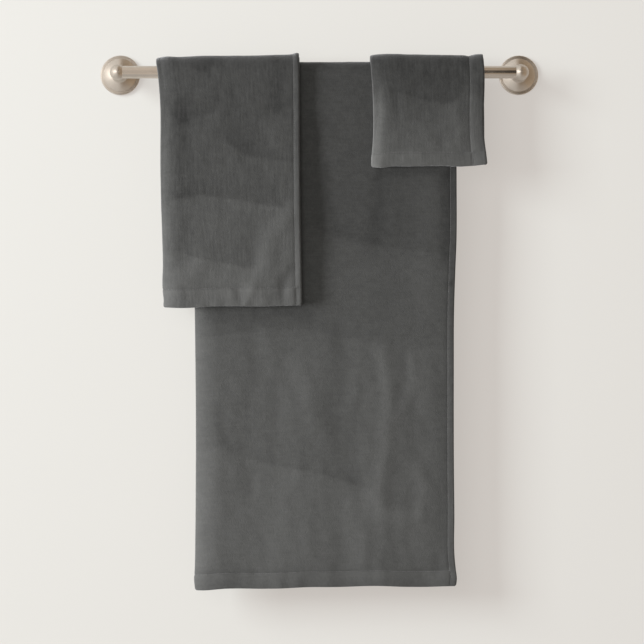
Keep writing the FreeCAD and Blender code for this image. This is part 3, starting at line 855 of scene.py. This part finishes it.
def hand_painted_light_and_tone(x, z, share, is_back):
    """Darker over the bar, lighter towards the end hem, with painted shade and light at creases and soft
    marks and a painted highlight along the fold.
    """
    front = painted_crease_shading(HAND_CREASE_LINES, x, z, darker=0.085, lighter=0.04, fade=0.040)
    front = front + strokes(HAND_MARKS, x, z, PAINTED_SHADING)
    # Painted highlight along the rounded fold, with a little painted shade just past it
    band = (0.16 * bell(share, 0, 0.05) - 0.06 * bell(share, 0.12, 0.05)) * smooth(-z, 0.0, 0.08)
    return curve_through(HAND_FALL, z) + (front + band) * (1 - is_back)


hand = Towel(
    "hand_towel",
    cut=(0.416, 0.762),
    grid=3.5 * MM,
    layer=2.7 * MM,
    play=0.3 * MM,
    end_hem=27 * MM,
    side_hem=8 * MM,
    fold=16 * MM,
    hang={
        "front_end": -0.3545,
        "back_drop": 0.346,
        "left_edge": [(-0.356, -0.2338), (-0.345, -0.2331), (-0.325, -0.2350), (-0.29, -0.2345),
                      (-0.25, -0.2354), (-0.20, -0.2371), (-0.15, -0.2381), (-0.03, -0.2396),
                      (0.0, -0.2425), (0.02, -0.2452)],
        "left_edge_back": [(-0.35, -0.2345), (-0.20, -0.2362), (-0.10, -0.2384), (0.0, -0.2425),
                           (0.02, -0.2452)],
        "right_edge": [(-0.356, -0.0265), (-0.325, -0.0270), (-0.20, -0.0292), (0.0, -0.0305),
                       (0.02, -0.0308)],
        "right_edge_back": [(-0.35, -0.0280), (0.0, -0.0305), (0.02, -0.0308)],
        "under_edge": -0.8 * MM,
        "swell": hand_swell,
        "top_lift": lambda x, turn: (
            MM * curve_through(HAND_TOP, x) + 2.2 * MM * bell(x, -0.035, 0.007)
        ) * np.sin(turn) ** 2,
        "front_tilt": lambda share: MM * (
            0.8 - 2.2 * share + 0.5 * np.sin(share * 11) + 1.3 * bell(share, 0.14, 0.12)
        ),
        "back_tilt": lambda share: 0.5 * MM - 2.0 * MM * share,
        "painted_light_and_tone": hand_painted_light_and_tone,
    },
)

# -- washcloth -----------------------------------------------------------------------------------

# Crease lines: shallow valleys in the relief, with painted shade above each line and painted light below
WASH_CREASE_LINES = [
    ([(0.112, -0.030), (0.140, -0.040), (0.165, -0.046), (0.197, -0.049), (0.210, -0.040),
      (0.224, -0.020)], 1.4),
    ([(0.098, -0.074), (0.150, -0.076), (0.178, -0.081)], 0.7),
]
# Soft marks as for the bath towel, with painted shade or highlight going with the relief and painted shade
# down the right edge
WASH_MARKS = [
    ([(165, 6), (166, -6)], 9, -0.4, -0.10),
    ([(198, 12), (192, -38)], 13, -0.5, -0.07),
    ([(218, 14)], 13, -0.3, -0.07),
    ([(140, -2), (150, -32)], 20, -0.4, -0.05),
    ([(214, -14)], 7, -0.3, -0.05),
    ([(200, -58), (214, -78), (212, -104)], 11, 0.9, 0.08),
    ([(116, -30), (116, -88)], 7, -0.6, -0.07),
    ([(160, -92), (170, -104)], 12, 0.5, 0.04),
    ([(198, -113)], 9, 0.6, 0.05),
    ([(180, -100), (186, -114)], 8, -0.5, -0.04),
    ([(128, -104)], 10, -0.4, -0.03),
    ([(128, -132)], 5, 0.6, 0.06),
    ([(218, -128)], 7, -0.5, -0.06),
    ([(233, -45), (234, -112)], 7, 0.3, 0.08),
    ([(245, -20), (246, -118)], 4, -0.3, -0.12),
    ([(236, 10), (240, -28)], 9, 0.0, -0.06),
    ([(152, -126), (160, -138)], 7, 0.4, 0.03),
]
WASH_FALL = [(0.03, 0.52), (0.0, 0.54), (-0.03, 0.60), (-0.06, 0.72), (-0.10, 0.84), (-0.125, 0.95),
             (-0.145, 0.98)]


def wash_swell(x, z, from_fold, is_back):
    """The washcloth stands off the bath towel, its corners turned a little outwards."""
    off = 1.6 * MM + 1.8 * MM * smooth(-z, 0.0, 0.12)
    corner = (bell(from_fold, 0.0, 0.018) + bell(from_fold, 0.170, 0.018)) * smooth(-z, 0.09, 0.142)
    corner = corner * 2.4 * MM
    loose = noise(x, z, 0.035, 0.12, 31) * 0.5 * MM
    small = noise(x, z, 0.013, 0.03, 32) * 0.25 * MM
    front = off + corner + strokes(WASH_MARKS, x, z, RELIEF) * MM + loose + small
    front = front - creases(WASH_CREASE_LINES, x, z, depth=0.5 * MM, width=0.012)
    back = off * 0.7 + loose + small
    front = front - 4.0 * MM * np.clip(1 - from_fold / 0.026, 0, 1) ** 2 * smooth(-z, 0.0, 0.03)
    return np.maximum(front * (1 - is_back) + back * is_back, 0.0)


def wash_painted_light_and_tone(x, z, share, is_back):
    """Darkest just under the bar, lighter at the end hem, with painted shade and light at creases and soft
    marks and a painted highlight along the fold.
    """
    front = painted_crease_shading(WASH_CREASE_LINES, x, z, darker=0.07, lighter=0.035, fade=0.025)
    front = front + strokes(WASH_MARKS, x, z, PAINTED_SHADING)
    # Painted highlight along the rounded fold
    band = 0.14 * bell(share, 0.03, 0.11) + 0.24 * (1 - smooth(share, 0.05, 0.10))
    band = band * smooth(-z, 0.01, 0.06)
    return curve_through(WASH_FALL, z) + (front + band) * (1 - is_back)


wash = Towel(
    "washcloth",
    cut=(0.332, 0.332),
    grid=3 * MM,
    layer=2.7 * MM,
    play=0.3 * MM,
    end_hem=20 * MM,
    side_hem=20 * MM,
    fold=16 * MM,
    hang={
        "front_end": -0.1428,
        "back_drop": 0.124,
        "left_edge": [(-0.143, 0.0795), (-0.128, 0.0798), (-0.110, 0.0815), (-0.05, 0.0822), (0.0, 0.0795),
                      (0.02, 0.0778)],
        "left_edge_back": [(-0.125, 0.0800), (-0.05, 0.0815), (0.0, 0.0795), (0.02, 0.0778)],
        "right_edge": [(-0.143, 0.2522), (-0.128, 0.2508), (-0.110, 0.2484), (0.0, 0.2478), (0.02, 0.2470)],
        "right_edge_back": [(-0.125, 0.2495), (0.0, 0.2478), (0.02, 0.2470)],
        "under_edge": -1.0 * MM,
        "swell": wash_swell,
        "top_lift": lambda x, turn: (
            3.0 * MM - 1.0 * MM * smooth(x, 0.12, 0.20) - 1.6 * MM * bell(x, 0.2255, 0.006)
            + 0.6 * MM * smooth(x, 0.228, 0.236)
        ) * np.sin(turn) ** 2,
        "front_tilt": lambda share: MM * (
            2.4 * bell(share, 0.05, 0.07) + 0.6 * np.sin(share * 6) + 1.8 * bell(share, 0.76, 0.10)
            - 1.7 * smooth(share, 0.90, 1.0)
        ),
        "back_tilt": lambda share: 1.5 * MM * share,
        "painted_light_and_tone": wash_painted_light_and_tone,
    },
)

SEAM_SHORT = 1 * MM  # a row along an end stops this far from the fold
SIDE_SEAM_SHORT = 2 * MM  # a row along a side stops this far from each end

cloths = []
for towel, cloth in ((bath, bath_terry), (hand, hand_terry), (wash, wash_terry)):
    name = towel.name
    sheet = towel.build(cloth)
    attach(sheet, name)
    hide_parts(*[f"{name}_{part}" for part in ("terry", "front_hem", "back_hem", "side_hem")])
    end, side, wide, long = towel.end_hem, towel.side_hem, towel.width, towel.length
    fold = wide / 2 - SEAM_SHORT
    rows = {
        "front_stitching": ((side, end), (fold, end)),
        "back_stitching": ((side, long - end), (fold, long - end)),
        "side_stitching": ((side, SIDE_SEAM_SHORT), (side, long - SIDE_SEAM_SHORT)),
    }
    sewn = []
    for part, (start, stop) in rows.items():
        row = towel.stitches(f"{name}_{part}_thread", start, stop, sewing_thread)
        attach(row, name)
        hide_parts(f"{name}_{part}")
        sewn.append(row)
    cloths += [sheet, *sewn]

# ---------------------------------------------------------------------------------------------
# Stage, light and camera
# ---------------------------------------------------------------------------------------------

WALL_Y = 0.5 * MM
FLOOR_Z = -1.10
STAGE = 4.0
WALL_PAINT = (0.125, 0.123, 0.120)
WALL_GLOW = (1.0, 0.935, 0.875)
WALL_GLOW_STRENGTH = 0.50
FLOOR_PAINT = (0.72, 0.71, 0.70)
PAINT_CLOUD = 0.985


def stage_plane(name, corners, material):
    """A flat part of the stage, from its four corners."""
    ob = mesh_object(name, np.array(corners, float), np.array([[0, 1, 2, 3]]), material, False)
    return ob


def paint(name, colour):
    """Plain paint with a faint unevenness."""
    material = bpy.data.materials.new(name)
    n = Nodes(material)
    cloud = n.noise(n.object_place((1, 1, 1)), 2.0)
    dark = tuple(c * PAINT_CLOUD for c in colour)
    n.link(n.mix_colour(cloud, dark, colour), n.shader.inputs["Base Color"])
    n.set_shader(Roughness=0.9, Specular_IOR_Level=0.1)
    return material, n


def wall_paint():
    """Evenly lit paint seen from the room only: the wall's back shows what is in front of it.

    Most of its brightness is its own glow, so that the towels shade it only a little.
    """
    material, n = paint("wall_paint", WALL_PAINT)
    n.set_shader(Emission_Color=WALL_GLOW, Emission_Strength=WALL_GLOW_STRENGTH)
    mix = n.add("ShaderNodeMixShader")
    n.link(n.add("ShaderNodeNewGeometry").outputs["Backfacing"], mix.inputs[0])
    n.link(n.shader.outputs[0], mix.inputs[1])
    n.link(n.add("ShaderNodeBsdfTransparent").outputs[0], mix.inputs[2])
    n.link(mix.outputs[0], n.tree.nodes["Material Output"].inputs["Surface"])
    return material


wall_corners = [(-STAGE, FLOOR_Z), (STAGE, FLOOR_Z), (STAGE, STAGE), (-STAGE, STAGE)]
wall = stage_plane("wall", [(x, WALL_Y, z) for x, z in wall_corners], wall_paint())
floor_corners = [(-STAGE, -STAGE), (STAGE, -STAGE), (STAGE, STAGE), (-STAGE, STAGE)]
floor_paint = paint("floor_paint", FLOOR_PAINT)[0]
floor = stage_plane("floor", [(x, y, FLOOR_Z) for x, y in floor_corners], floor_paint)


def area_light(name, place, target, size, power, colour, receivers, blockers=None):
    """A soft rectangular light, turned to target, that falls on the receivers only.

    Only the blockers shade it; with none given, everything does.
    """
    data = bpy.data.lights.new(name, "AREA")
    data.shape = "RECTANGLE"
    data.size, data.size_y = size
    data.energy = power
    data.color = colour
    ob = bpy.data.objects.new(name, data)
    bpy.context.scene.collection.objects.link(ob)
    ob.location = place
    ob.rotation_euler = (Vector(target) - Vector(place)).to_track_quat("-Z", "Y").to_euler()
    ob.light_linking.receiver_collection = collection_of(f"{name}_receivers", receivers)
    if blockers is not None:
        ob.light_linking.blocker_collection = collection_of(f"{name}_blockers", blockers)


def collection_of(name, objects):
    """A collection holding these objects."""
    group = bpy.data.collections.new(name)
    for ob in objects:
        group.objects.link(ob)
    return group


area_light(
    "soft_box",
    place=(-1.1, -4.4, 0.1),
    target=(0, 0, -0.35),
    size=(2.4, 2.4),
    power=97,
    colour=(1.0, 0.992, 0.975),
    receivers=[wall, floor, *cloths],
)
area_light(
    "rim_light",
    place=(-3.2, -1.1, -0.55),
    target=(0, -0.07, -0.35),
    size=(0.6, 1.6),
    power=365,
    colour=(0.985, 0.985, 1.0),
    receivers=cloths,
)
area_light(
    "side_light",
    place=(-3.4, -2.8, 0.9),
    target=(0, 0, -0.15),
    size=(1.9, 2.2),
    power=585,
    colour=(0.90, 1.0, 1.0),
    receivers=[wall],
)
# Behind the wall, for the backs of the towels
area_light(
    "back_light",
    place=(0.6, 2.4, 0.3),
    target=(0, 0, -0.35),
    size=(2.0, 2.0),
    power=40,
    colour=(1.0, 0.985, 0.965),
    receivers=cloths,
    blockers=cloths,
)
for ob in (floor, *cloths):
    ob.visible_glossy = False

COOL = (1.0, 0.985, 0.96)
WARM = (1.0, 0.77, 0.54)
BACKDROP = 0.80
GROUND = 0.62


def studio_world(left, right, window, dark, fill):
    """Soft light all round: bright on the left with a window, dim and warm on the right.

    Only metal mirrors it, with a dark band round the level of the bar and a plain ground. Cloth and paint
    are lit by a plain fall of light from left to right (fill: left, right and far right), and the room
    looks plain and pale.
    """
    world = bpy.data.worlds.new("studio")
    bpy.context.scene.world = world
    n = Nodes(world, "Background")
    axes = n.add("ShaderNodeSeparateXYZ")
    n.link(n.add("ShaderNodeTexCoord").outputs["Generated"], axes.inputs[0])
    x, z = axes.outputs["X"], axes.outputs["Z"]

    side = n.total(n.range(x, -0.12, 0.08, left, right), n.range(x, 0.25, 0.6, 0.0, 0.16))
    pane = n.product(n.near(x, -0.54, 0.12, 0.42, window), n.near(z, 0.10, 0.10, 0.42))
    in_front = n.product(n.range(x, -0.04, 0.05, 0.12, 1.0), n.range(x, 0.15, 0.45, 1.0, 0.20))
    band = n.product(n.near(z, 0.08, 0.30, 0.56), in_front)
    above = n.range(z, -0.78, -0.52, 0.25, 1.0)
    seen = n.total(n.product(side, n.rest_of(n.product(band, 1 - dark))), pane)
    seen = n.total(n.product(seen, above), n.product(n.rest_of(above), GROUND))
    plain = n.total(n.range(x, -0.7, 0.7, fill[0], fill[1]), n.range(x, 0.75, 1.0, 0.0, fill[2]))

    ray = n.add("ShaderNodeLightPath").outputs
    lit, mirrored, viewed = ray["Is Diffuse Ray"], ray["Is Glossy Ray"], ray["Is Camera Ray"]
    strength = n.total(n.product(plain, lit), n.product(seen, mirrored), n.product(viewed, BACKDROP))
    warm = n.product(above, n.range(x, -0.15, 0.15, 0.0, 1.0), n.total(mirrored, n.product(lit, 0.4)))
    n.link(n.mix_colour(warm, COOL, WARM), n.shader.inputs["Color"])
    n.link(strength, n.shader.inputs["Strength"])


studio_world(left=1.05, right=0.41, window=2.75, dark=0.08, fill=(0.80, 0.16, 0.50))

CAMERA_PLACE = Vector((0.004, -4.9, -0.3777))
SENSOR_WIDTH = 36  # mm
VIEW_WIDTH = 0.9866  # width of the view at the wall

camera_data = bpy.data.cameras.new("camera")
camera_data.sensor_width = SENSOR_WIDTH
camera_data.lens = SENSOR_WIDTH * -CAMERA_PLACE.y / VIEW_WIDTH
camera = bpy.data.objects.new("camera", camera_data)
camera.location = CAMERA_PLACE
camera.rotation_euler = (math.pi / 2, 0, 0)
bpy.context.scene.collection.objects.link(camera)
bpy.context.scene.camera = camera
bpy.context.scene.view_settings.view_transform = "Standard"
